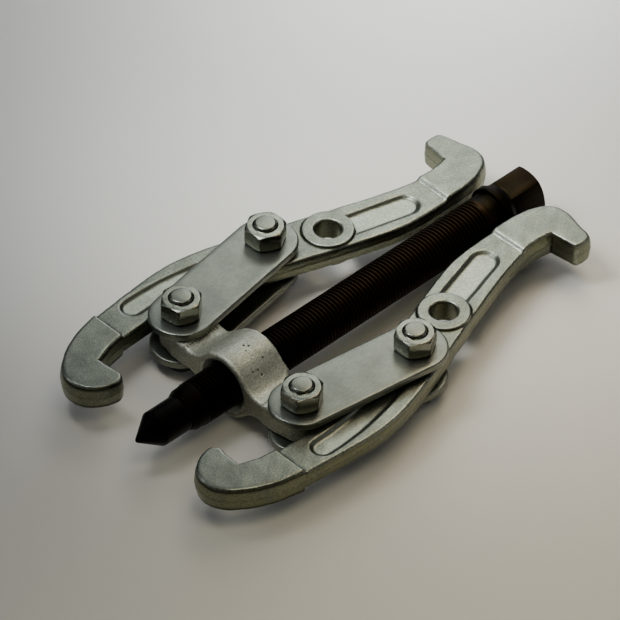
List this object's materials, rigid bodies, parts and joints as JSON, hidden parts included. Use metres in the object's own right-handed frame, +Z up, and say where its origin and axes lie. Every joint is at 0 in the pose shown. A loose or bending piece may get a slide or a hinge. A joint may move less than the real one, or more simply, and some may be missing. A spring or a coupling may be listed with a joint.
{
  "type": "two-jaw gear puller",
  "caption": "Two-jaw gear puller: a forcing screw in a cast yoke, with reversible forged jaws carried on paired link plates.",
  "frame": {"origin": "centre of the footprint at rest, on the plane that the bolt heads stand on", "axes": "+X along the forcing screw from the pressure point to the drive hexagon, +Y towards the left jaw, +Z up out of the plane of the jaws"},
  "size_m": [0.182, 0.1078, 0.0293],
  "materials": {
    "black_oxide_screw": "black oxide with oil, brown at the worn crests",
    "black_oxide_point": "black oxide, turned cone",
    "zinc_cast_yoke": "cast skin, zinc plated, fine grain with small pits",
    "zinc_plate_link": "pressed plate, zinc plated, satin",
    "zinc_forged_jaw": "forged skin, zinc plated, satin",
    "zinc_bolt": "zinc plated, bright",
    "zinc_nut": "zinc plated, bright"
  },
  "bodies": {
    "yoke": {"yoke": "zinc_cast_yoke", "yoke_bolt_left": "zinc_bolt", "yoke_nut_left": "zinc_nut", "yoke_bolt_right": "zinc_bolt", "yoke_nut_right": "zinc_nut"},
    "pressure_point": {"pressure_point": "black_oxide_point"},
    "forcing_screw": {"forcing_screw": "black_oxide_screw"},
    "left_links": {"link_left_upper": "zinc_plate_link", "link_left_lower": "zinc_plate_link", "jaw_bolt_left": "zinc_bolt", "jaw_nut_left": "zinc_nut"},
    "right_links": {"link_right_upper": "zinc_plate_link", "link_right_lower": "zinc_plate_link", "jaw_bolt_right": "zinc_bolt", "jaw_nut_right": "zinc_nut"},
    "left_jaw": {"jaw_left": "zinc_forged_jaw"},
    "right_jaw": {"jaw_right": "zinc_forged_jaw"}
  },
  "joints": [
    {"name": "screw_feed", "type": "slide", "parent": "yoke", "child": "pressure_point", "axis": [-1, 0, 0], "range_m": [-0.0375, 0.099]},
    {"name": "screw_turn", "type": "hinge", "parent": "pressure_point", "child": "forcing_screw", "pos_m": [-0.0438, -0.00003, 0.01345], "axis": [-1, 0, 0], "range_deg": [-9001, 23761]},
    {"name": "left_link_swing", "type": "hinge", "parent": "yoke", "child": "left_links", "pos_m": [-0.0438, 0.02937, 0.01345], "axis": [0, 0, 1], "range_deg": [0, 80]},
    {"name": "left_jaw_swing", "type": "hinge", "parent": "left_links", "child": "left_jaw", "pos_m": [0.00151, 0.03671, 0.01345], "axis": [0, 0, 1], "range_deg": [-80, 0]},
    {"name": "right_link_swing", "type": "hinge", "parent": "yoke", "child": "right_links", "pos_m": [-0.0438, -0.02943, 0.01345], "axis": [0, 0, -1], "range_deg": [0, 80]},
    {"name": "right_jaw_swing", "type": "hinge", "parent": "right_links", "child": "right_jaw", "pos_m": [0.00162, -0.03605, 0.01345], "axis": [0, 0, -1], "range_deg": [-80, 0]}
  ],
  "couplings": [
    {"joint": "screw_turn", "follows": "screw_feed", "rad_per_m": 4188.8},
    {"joint": "left_jaw_swing", "follows": "left_link_swing", "ratio": -1},
    {"joint": "right_jaw_swing", "follows": "right_link_swing", "ratio": -1}
  ]
}
